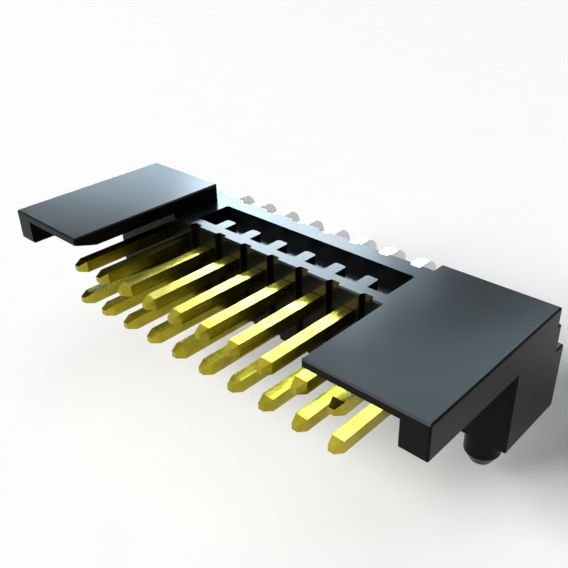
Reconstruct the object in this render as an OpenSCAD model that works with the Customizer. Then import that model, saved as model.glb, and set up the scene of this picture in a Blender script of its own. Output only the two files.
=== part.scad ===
// Right-angle board to board pin header: a moulded housing with a guide wing at each end
// and two rows of square gold contacts that turn down to the board behind it.
// The origin lies on the board, midway between the two locating pegs.
// +X runs along the rows, -Y points the way the posts do, +Z points up from the board.

/* [Contacts] */
// Spacing of the contacts along a row, and of the two rows
pitch = 1.27; // [1.2:0.01:2.54]
// Contacts in each row
positions = 10; // [6:1:20]
// Side of the square contact wire
wire = 0.41; // [0.3:0.01:0.5]
// Length of each post in front of the bar
post_length = 3.83; // [2.5:0.01:6]
// Length of the taper at each end of a contact
taper_length = 0.3; // [0.1:0.01:0.6]
// Width of the small flat that the taper leaves
taper_flat = 0.2; // [0.1:0.01:0.28]
// Height of the lower row above the board
lower_row_z = 1.01; // [0.65:0.01:2]
// Gap between the bar and the middle of the lower row's tails
tail_setback = 0.43; // [0.43:0.01:1.5]
// Inner radius of the bend from post to tail
bend_radius = 0.2; // [0.1:0.01:0.25]
// Length of each tail below the board
tail_length = 2.3; // [1.6:0.05:4]

/* [Housing bar] */
// Distance from the outer contacts to the end faces
end_margin = 2.99; // [2.5:0.01:5]
// Depth of the bar that carries the contacts
bar_depth = 2.72; // [2.4:0.01:5]
// Height of the bar's top above the upper row
row_cover = 0.83; // [0.8:0.01:2]
// Width of the grooves between the contacts in the bar's front and back
groove_width = 0.5; // [0.2:0.01:0.6]
// Depth of those grooves
groove_depth = 0.18; // [0.05:0.01:0.25]
// Small bevel along the moulded edges
edge_bevel = 0.05; // [0.02:0.01:0.08]

/* [Trough in the top of the bar] */
// Rim in front of the trough
front_rim = 0.5; // [0.3:0.01:0.8]
// Rim behind the trough
rear_rim = 0.76; // [0.5:0.01:0.8]
// Depth of the trough below the rims
trough_depth = 0.5; // [0.35:0.01:0.55]
// Radius of the upright corners of the trough and of the ribs
trough_corner = 0.1; // [0.05:0.01:0.14]
// Width of the ribs that reach back from the front rim, one over each contact
rib_width = 0.45; // [0.3:0.01:0.7]
// Length of the ribs
rib_length = 0.72; // [0.35:0.01:0.9]
// How far the ribs lie below the rims
rib_drop = 0.08; // [0.04:0.01:0.3]

/* [Guide wings] */
// Width of each wing, from the end face inwards
wing_width = 3.72; // [3:0.01:4.5]
// How far the wings reach in front of the bar
wing_reach = 4.14; // [3:0.01:8]
// Height of the wings' tops above the bar
wing_rise = 0.63; // [0.3:0.01:1.2]
// Thickness of a wing's plate
wing_thickness = 0.5; // [0.35:0.01:0.8]
// Distance from the back of the bar to the back of a wing's plate
wing_setback = 0.55; // [0.2:0.01:1]
// Thickness left at the front edge of the plate by the lead-in underneath
lip_thickness = 0.25; // [0.12:0.01:0.3]
// Length of that lead-in
lip_length = 0.8; // [0.4:0.01:2]
// Thickness of the outer wall under the plate
wall_thickness = 0.79; // [0.5:0.01:1.5]
// Height of that wall, measured from the wing's top
wall_height = 1.09; // [0.9:0.01:2.5]

/* [Feet at the back] */
// Width of each foot, from the end face inwards
foot_width = 2.1; // [1.2:0.01:2.1]
// Height of the feet
foot_height = 2.2; // [1:0.01:2.5]
// How far the feet stand out behind the bar
foot_reach = 0.13; // [0.1:0.01:0.6]
// How far the ends of the bar are set back above the feet
end_setback = 0.35; // [0.1:0.01:0.5]

/* [Locating pegs] */
// Diameter of the pegs
peg_diameter = 1.1; // [0.8:0.01:1.2]
// Length of the pegs below the board face
peg_length = 1.2; // [0.8:0.05:3]
// Length of the taper at the pegs' tips
peg_taper = 0.35; // [0.1:0.01:0.5]
// Diameter that the taper leaves at the tips
peg_tip = 0.7; // [0.4:0.01:0.78]
// Distance from the end faces to the pegs' axes
peg_inset = 1; // [0.7:0.01:2]
// Distance from the front of the bar to the pegs' axes
peg_setback = 0.74; // [0.6:0.01:1.4]

/* [Clearances] */
// Gap between a contact and the walls of its hole
hole_clearance = 0.02; // [0.01:0.01:0.05]

/* [Hidden] */
// Overshoot that carries cuts clear of the faces they open
over = 0.5;
// Sideways lean of the grooves' sides for each unit of depth
groove_slope = 0.5;
$fn = 48;

upper_row_z = lower_row_z + pitch;
bar_height = upper_row_z + row_cover;
top_z = bar_height + wing_rise;
plate_z = top_z - wing_thickness;
wall_z = top_z - wall_height;

end_x = (positions - 1) / 2 * pitch + end_margin;
foot_inner_x = end_x - foot_width;
wing_inner_x = end_x - wing_width;

bar_front = -peg_setback;
bar_back = bar_front + bar_depth;
wing_front = bar_front - wing_reach;
wing_back = bar_back - wing_setback;
tip_y = bar_front - post_length;
lower_tail_y = bar_back + tail_setback;
upper_tail_y = lower_tail_y + pitch;

hole_side = wire + 2 * hole_clearance;
trough_front = bar_front + front_rim;
trough_back = bar_back - rear_rim;

// Middle of each contact, and of each gap between neighbours, along the row
function contact_x(i) = (i - (positions - 1) / 2) * pitch;
function gap_x(i) = (i - (positions - 2) / 2) * pitch;

// Gaps that lie wholly between the wings
open_gaps = [for (i = [0 : positions - 2]) if (abs(gap_x(i)) + pitch / 2 < wing_inner_x) gap_x(i)];

function two_digits(n) = n < 10 ? str("0", n) : str(n);
function contact_name(row, i) = str(row, "_contact_", two_digits(i + 1));

// Rectangle between two corners with its own corners bevelled
module bevelled_rectangle(low, high, bevel) {
    polygon([
        [low[0] + bevel, low[1]], [high[0] - bevel, low[1]],
        [high[0], low[1] + bevel], [high[0], high[1] - bevel],
        [high[0] - bevel, high[1]], [low[0] + bevel, high[1]],
        [low[0], high[1] - bevel], [low[0], low[1] + bevel]
    ]);
}

// Rectangle centred on the origin with round corners
module rounded_rectangle(width, depth, radius) {
    square([width - 2 * radius, depth], center = true);
    square([width, depth - 2 * radius], center = true);
    for (sx = [-1, 1], sy = [-1, 1])
        translate([sx * (width / 2 - radius), sy * (depth / 2 - radius)])
            circle(radius);
}

// Extrude a Y-Z profile along X from x0 to x1
module along_x(x0, x1) {
    translate([x0, 0, 0])
        rotate([90, 0, 90])
            linear_extrude(x1 - x0)
                children();
}

// Extrude an X-Z profile along Y from y0 to y1
module along_y(y0, y1) {
    translate([0, y1, 0])
        rotate([90, 0, 0])
            linear_extrude(y1 - y0)
                children();
}

// Block between two corners with a bevel along all its edges
module bevelled_block(low, high, bevel) {
    intersection() {
        translate([0, 0, low[2]])
            linear_extrude(high[2] - low[2])
                bevelled_rectangle([low[0], low[1]], [high[0], high[1]], bevel);
        along_y(low[1], high[1])
            bevelled_rectangle([low[0], low[2]], [high[0], high[2]], bevel);
        along_x(low[0], high[0])
            bevelled_rectangle([low[1], low[2]], [high[1], high[2]], bevel);
    }
}

// Bar across the back that carries the contacts, full depth between the two feet
module bar() {
    bevelled_block([-end_x, bar_front, 0], [end_x, bar_back - end_setback, bar_height], edge_bevel);
    bevelled_block([-foot_inner_x, bar_front, 0], [foot_inner_x, bar_back, bar_height], edge_bevel);
}

// Foot at the back of the +X end that steadies the housing on the board
module foot() {
    bevelled_block([foot_inner_x, bar_front, 0], [end_x, bar_back + foot_reach, foot_height], edge_bevel);
}

// Guide wing of the +X end: a plate on the bar that reaches forward, with a wall under its outer edge
module wing() {
    difference() {
        bevelled_block([wing_inner_x, wing_front, wall_z], [end_x, wing_back, top_z], edge_bevel);
        along_x(wing_inner_x - over, end_x - wall_thickness)
            polygon([
                [wing_front - over, wall_z - over],
                [bar_front, wall_z - over],
                [bar_front, plate_z],
                [wing_front + lip_length, plate_z],
                [wing_front, top_z - lip_thickness],
                [wing_front - over, top_z - lip_thickness]
            ]);
    }
}

// Round peg of the +X end, tapered to find its hole in the board
module peg() {
    translate([end_x - peg_inset, 0, 0]) {
        translate([0, 0, peg_taper - peg_length])
            cylinder(h = peg_length - peg_taper + over, d = peg_diameter);
        translate([0, 0, -peg_length])
            cylinder(h = peg_taper, d1 = peg_tip, d2 = peg_diameter);
    }
}

// Square holes that the contacts pass through
module contact_holes() {
    for (i = [0 : positions - 1], z = [lower_row_z, upper_row_z])
        translate([contact_x(i), (bar_front + bar_back) / 2, z])
            cube([hole_side, bar_depth + 2 * over, hole_side], center = true);
}

// Rib of the trough, from inside the front rim back to a round end
module rib(x) {
    low_y = trough_front - over;
    high_y = trough_front + rib_length;
    translate([x, (low_y + high_y) / 2, bar_height - trough_depth - over])
        linear_extrude(trough_depth + over - rib_drop)
            rounded_rectangle(rib_width, high_y - low_y, trough_corner);
}

// Trough cored into the top of the bar between the wings, with a rib standing in it over each contact
module top_trough() {
    trough_half = max(open_gaps) + (pitch - rib_width) / 2;
    difference() {
        translate([0, (trough_front + trough_back) / 2, bar_height - trough_depth])
            linear_extrude(trough_depth + over)
                rounded_rectangle(2 * trough_half, trough_back - trough_front, trough_corner);
        for (i = [0 : positions - 1])
            if (abs(contact_x(i)) < max(open_gaps))
                rib(contact_x(i));
    }
}

// Upright groove with slanted sides, cut from the face at y = 0 towards +Y
module groove() {
    floor_half = groove_width / 2 - groove_slope * groove_depth;
    mouth_half = groove_width / 2 + groove_slope * over;
    translate([0, 0, -over])
        linear_extrude(bar_height + 2 * over)
            polygon([
                [-mouth_half, -over], [mouth_half, -over],
                [floor_half, groove_depth], [-floor_half, groove_depth]
            ]);
}

// Grooves between the contacts in the front and back of the bar
module grooves() {
    for (x = open_gaps) {
        translate([x, bar_front, 0])
            groove();
        translate([x, bar_back, 0])
            mirror([0, 1, 0])
                groove();
    }
}

// Four slanted cuts that taper the end of a square wire lying along +Y from the origin
module taper_cuts() {
    for (turn = [0 : 90 : 270])
        rotate([0, turn, 0])
            along_x(-wire, wire)
                polygon([
                    [-over, taper_flat / 2], [0, taper_flat / 2],
                    [taper_length, wire / 2], [taper_length, wire], [-over, wire]
                ]);
}

// One contact: a straight post that ends in a right-angle bend and a tail
module contact(x, row_z, tail_y) {
    bend_y = tail_y - wire / 2 - bend_radius;
    bend_z = row_z - wire / 2 - bend_radius;
    translate([x, 0, 0])
        difference() {
            along_x(-wire / 2, wire / 2) {
                translate([tip_y, row_z - wire / 2])
                    square([bend_y - tip_y, wire]);
                translate([bend_y, bend_z])
                    intersection() {
                        difference() {
                            circle(bend_radius + wire);
                            circle(bend_radius);
                        }
                        square(bend_radius + wire);
                    }
                translate([tail_y - wire / 2, -tail_length])
                    square([wire, bend_z + tail_length]);
            }
            translate([0, tip_y, row_z])
                taper_cuts();
            translate([0, tail_y, -tail_length])
                rotate([90, 0, 0])
                    taper_cuts();
        }
}

module housing() {
    color("#17191c")
        difference() {
            union() {
                bar();
                wing();
                mirror([1, 0, 0]) wing();
                foot();
                mirror([1, 0, 0]) foot();
                peg();
                mirror([1, 0, 0]) peg();
            }
            contact_holes();
            top_trough();
            grooves();
        }
}

module upper_contact(i) {
    color("#d8c23a") contact(contact_x(i), upper_row_z, upper_tail_y);
}

module lower_contact(i) {
    color("#d8c23a") contact(contact_x(i), lower_row_z, lower_tail_y);
}

housing();
for (i = [0 : positions - 1]) {
    upper_contact(i);
    lower_contact(i);
}
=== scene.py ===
import math
import bpy
import numpy as np
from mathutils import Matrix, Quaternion, Vector


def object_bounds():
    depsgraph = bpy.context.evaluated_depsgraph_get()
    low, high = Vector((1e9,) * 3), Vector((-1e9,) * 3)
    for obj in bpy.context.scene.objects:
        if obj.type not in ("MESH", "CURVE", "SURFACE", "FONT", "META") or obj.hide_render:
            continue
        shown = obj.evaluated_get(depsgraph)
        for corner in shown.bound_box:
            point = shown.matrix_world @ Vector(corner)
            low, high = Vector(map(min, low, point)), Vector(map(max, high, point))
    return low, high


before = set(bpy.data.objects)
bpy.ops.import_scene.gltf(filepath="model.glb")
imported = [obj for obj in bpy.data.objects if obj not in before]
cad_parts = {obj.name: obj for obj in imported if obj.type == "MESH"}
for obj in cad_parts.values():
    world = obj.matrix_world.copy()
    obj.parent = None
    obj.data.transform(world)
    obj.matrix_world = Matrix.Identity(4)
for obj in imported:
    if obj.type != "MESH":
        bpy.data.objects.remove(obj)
cad_box = [list(corner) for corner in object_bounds()]
scene = bpy.context.scene
scene.view_settings.view_transform = "Standard"


# The viewpoint: the connector is seen from its front right and from above, only about 25 mm away,
# so the near wing looks far larger than the other one. The camera leans a little to its right.
mm = 0.001
eye = Vector((14.45, -15.16, 13.81)) * mm
target = Vector((1.18, -1.43, 2.87)) * mm
lean = Quaternion((0, 0, 1), math.radians(-1.65))
camera_data = bpy.data.cameras.new("viewpoint")
camera_data.sensor_width = 36
camera_data.lens = 44.88
camera_data.clip_start = 1 * mm
camera = bpy.data.objects.new("viewpoint", camera_data)
camera.location = eye
camera.rotation_euler = ((target - eye).to_track_quat("-Z", "Y") @ lean).to_euler()
scene.collection.objects.link(camera)
scene.camera = camera


# The housing: one injection-moulded piece that takes in the bar, both guide wings, the feet and the pegs.
# It is black glass-filled thermoplastic from a polished mould, so it is deep black with a soft sheen.
# The melt leaves faint flow clouds, and the fibres under the skin a very fine grain.
def linear(hex_colour):
    """A colour written as sRGB hex, as linear RGBA: ((c + 0.055) / 1.055) ** 2.4, or c / 12.92 near black."""
    c = np.array([int(hex_colour[i:i + 2], 16) for i in (1, 3, 5)]) / 255
    return (*np.where(c <= 0.04045, c / 12.92, ((c + 0.055) / 1.055) ** 2.4).tolist(), 1.0)


def add(tree, kind, links=(), **settings):
    """Adds one node. Settings name a property or an input socket; links are (input socket, source) pairs."""
    node = tree.nodes.new(kind)
    for name, value in settings.items():
        if hasattr(node, name):
            setattr(node, name, value)
        else:
            node.inputs[name.replace("_", " ")].default_value = value
    for socket, source in links:
        tree.links.new(source, node.inputs[socket])
    return node


def new_material(name):
    """An empty node material, its tree and its Object coordinates in metres."""
    material = bpy.data.materials.new(name)
    material.use_nodes = True
    material.node_tree.nodes.clear()
    return material, material.node_tree, add(material.node_tree, "ShaderNodeTexCoord").outputs["Object"]


def set_ramp(ramp, low, low_colour, high, high_colour):
    """Sets the two stops of a colour ramp."""
    for stop, position, colour in zip(ramp.color_ramp.elements, (low, high), (low_colour, high_colour)):
        stop.position, stop.color = position, linear(colour)


plastic, tree, place = new_material("moulded_black_thermoplastic")
along_bar = add(tree, "ShaderNodeMapping", [("Vector", place)], Scale=(0.5, 1.0, 1.0))
flow = add(tree, "ShaderNodeTexNoise", [("Vector", along_bar.outputs["Vector"])],
           Scale=1 / (2.5 * mm), Detail=3.0, Roughness=0.55)
fibre = add(tree, "ShaderNodeTexNoise", [("Vector", place)],
            Scale=1 / (0.06 * mm), Detail=2.0, Roughness=0.6)
black = add(tree, "ShaderNodeValToRGB", [("Fac", flow.outputs["Fac"])])
set_ramp(black, 0.35, "#070808", 0.7, "#0b0c0d")
sheen = add(tree, "ShaderNodeMapRange", [("Value", flow.outputs["Fac"])],
            From_Min=0.3, From_Max=0.7, To_Min=0.18, To_Max=0.22)
skin = add(tree, "ShaderNodeBump", [("Height", fibre.outputs["Fac"])], Strength=0.06, Distance=0.01 * mm)
surface = add(tree, "ShaderNodeBsdfPrincipled", [
    ("Base Color", black.outputs["Color"]),
    ("Roughness", sheen.outputs["Result"]),
    ("Normal", skin.outputs["Normal"])], IOR=1.5, Specular_IOR_Level=0.06)
add(tree, "ShaderNodeOutputMaterial", [("Surface", surface.outputs["BSDF"])])

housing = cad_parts["housing"]
housing.data.materials.clear()
housing.data.materials.append(plastic)


# The contacts: twenty pieces of drawn square copper-alloy wire, pressed into the bar and bent down behind it.
# The posts in front are gold plated, lemon yellow with fine draw lines and slow waves along the wire.
# From inside the bar back to the tails the wire is dipped in tin, a smooth, soft grey white.
contact_metal, tree, place = new_material("gold_and_tin_plated_wire")
gold_end, tin_start = 1.0 * mm, 1.1 * mm
depth = add(tree, "ShaderNodeSeparateXYZ", [("Vector", place)])
dipped = add(tree, "ShaderNodeMapRange", [("Value", depth.outputs["Y"])],
             From_Min=gold_end, From_Max=tin_start)
along_post = add(tree, "ShaderNodeMapping", [("Vector", place)], Scale=(1.0, 0.02, 1.0))
lines = add(tree, "ShaderNodeTexNoise", [("Vector", along_post.outputs["Vector"])],
            Scale=1 / (0.04 * mm), Detail=2.0, Roughness=0.6)
cloud = add(tree, "ShaderNodeTexNoise", [("Vector", place)], Scale=1 / (0.8 * mm), Detail=2.0, Roughness=0.5)
gold = add(tree, "ShaderNodeValToRGB", [("Fac", cloud.outputs["Fac"])])
set_ramp(gold, 0.3, "#968921", 0.7, "#ada234")
tin = add(tree, "ShaderNodeValToRGB", [("Fac", cloud.outputs["Fac"])])
set_ramp(tin, 0.3, "#cfcfcb", 0.7, "#dcdcd9")
plating = add(tree, "ShaderNodeMixRGB", [
    ("Fac", dipped.outputs["Result"]),
    ("Color1", gold.outputs["Color"]),
    ("Color2", tin.outputs["Color"])])
gold_shine = add(tree, "ShaderNodeMapRange", [("Value", lines.outputs["Fac"])],
                 From_Min=0.3, From_Max=0.7, To_Min=0.16, To_Max=0.26)
tin_shine = add(tree, "ShaderNodeMapRange", [("Value", cloud.outputs["Fac"])],
                From_Min=0.3, From_Max=0.7, To_Min=0.24, To_Max=0.34)
shine = add(tree, "ShaderNodeMixRGB", [
    ("Fac", dipped.outputs["Result"]),
    ("Color1", gold_shine.outputs["Result"]),
    ("Color2", tin_shine.outputs["Result"])])
line_depth = add(tree, "ShaderNodeMapRange", [("Value", dipped.outputs["Result"])], To_Min=0.08, To_Max=0.0)
drawn = add(tree, "ShaderNodeBump", [
    ("Height", lines.outputs["Fac"]),
    ("Strength", line_depth.outputs["Result"])], Distance=0.01 * mm)
wavy = add(tree, "ShaderNodeBump", [
    ("Height", cloud.outputs["Fac"]),
    ("Normal", drawn.outputs["Normal"])], Distance=0.015 * mm)
surface = add(tree, "ShaderNodeBsdfPrincipled", [
    ("Base Color", plating.outputs["Color"]),
    ("Roughness", shine.outputs["Color"]),
    ("Normal", wavy.outputs["Normal"])], Metallic=1.0)
add(tree, "ShaderNodeOutputMaterial", [("Surface", surface.outputs["BSDF"])])

for name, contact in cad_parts.items():
    if "_contact_" in name:
        contact.data.materials.clear()
        contact.data.materials.append(contact_metal)


# The table: a plain sheet of matt white card, half a metre square, that the solder tails stand on.
# Its paper grain is only just there.
half = 0.25
table_z = cad_box[0][2]
corners = [(x, y, table_z) for x, y in ((-half, -half), (half, -half), (half, half), (-half, half))]
table_mesh = bpy.data.meshes.new("table")
table_mesh.from_pydata(corners, [], [(0, 1, 2, 3)])
table = bpy.data.objects.new("table", table_mesh)
scene.collection.objects.link(table)
card, tree, place = new_material("matt_white_card")
paper = add(tree, "ShaderNodeTexNoise", [("Vector", place)], Scale=1 / (2 * mm), Detail=2.0)
white = add(tree, "ShaderNodeValToRGB", [("Fac", paper.outputs["Fac"])])
set_ramp(white, 0.0, "#fbfbfb", 1.0, "#ffffff")
surface = add(tree, "ShaderNodeBsdfDiffuse", [("Color", white.outputs["Color"])])
add(tree, "ShaderNodeOutputMaterial", [("Surface", surface.outputs["BSDF"])])
table_mesh.materials.append(card)


# The surround: white wherever the camera or a reflection looks past the table, with little light of its own.
world = bpy.data.worlds.new("surround")
world.use_nodes = True
tree = world.node_tree
tree.nodes.clear()
ray = add(tree, "ShaderNodeLightPath")
camera_or_glossy = add(tree, "ShaderNodeMath", [
    (0, ray.outputs["Is Camera Ray"]),
    (1, ray.outputs["Is Glossy Ray"])], operation="MAXIMUM")
seen = add(tree, "ShaderNodeMath", [
    (0, camera_or_glossy.outputs["Value"]),
    (1, ray.outputs["Is Transmission Ray"])], operation="MAXIMUM")
level = add(tree, "ShaderNodeMapRange", [("Value", seen.outputs["Value"])], To_Min=0.12, To_Max=1.0)
surround = add(tree, "ShaderNodeBackground", [("Strength", level.outputs["Result"])],
               Color=(1.0, 1.0, 1.0, 1.0))
add(tree, "ShaderNodeOutputWorld", [("Surface", surround.outputs["Background"])])
scene.world = world


# The lamps: a soft box overhead and the main one at the front, left of the middle, so the shadow falls back
# and to the right. Three pale blue panels behind light nothing but the sheen of the upper faces: two lie
# along the band that the bar and the far wing mirror, the third above them is mirrored by the near wing.
def soft_box(name, heading, elevation, roll, width, height, radiance, colour):
    """A flat lamp that faces the connector. Heading turns from +Y towards -X and roll about the line of
    sight, in degrees; width and height are in metres. Its power is pi x area x radiance, so radiance is
    about what a mirror would show of it."""
    distance = 3.0
    lamp = bpy.data.lights.new(name, "AREA")
    lamp.shape = "RECTANGLE"
    lamp.size, lamp.size_y = width, height
    lamp.energy = math.pi * width * height * radiance
    lamp.color = linear(colour)[:3]
    h, e = math.radians(heading), math.radians(elevation)
    away = Vector((-math.sin(h) * math.cos(e), math.cos(h) * math.cos(e), math.sin(e)))
    turn = Quaternion((0, 0, 1), math.radians(roll))
    box = bpy.data.objects.new(name, lamp)
    box.location = away * distance
    box.rotation_euler = (away.to_track_quat("Z", "Y") @ turn).to_euler()
    box.visible_camera = False
    scene.collection.objects.link(box)
    return box


soft_box("top_box", heading=0, elevation=88, roll=0,
         width=3.0, height=3.0, radiance=0.5, colour="#ffffff")
soft_box("main_box", heading=150, elevation=32, roll=0,
         width=1.7, height=1.7, radiance=15.4, colour="#ffffff")
sheen_panels = [
    soft_box("wide_panel", heading=49, elevation=21, roll=-22,
             width=2.0, height=0.47, radiance=9.5, colour="#ceebff"),
    soft_box("bright_panel", heading=44, elevation=27, roll=-20,
             width=0.82, height=0.33, radiance=34.0, colour="#e0f4ff"),
    soft_box("high_panel", heading=10, elevation=50.5, roll=30,
             width=2.5, height=2.2, radiance=12.2, colour="#d3f0ff")]
for panel in sheen_panels:
    panel.visible_diffuse = False
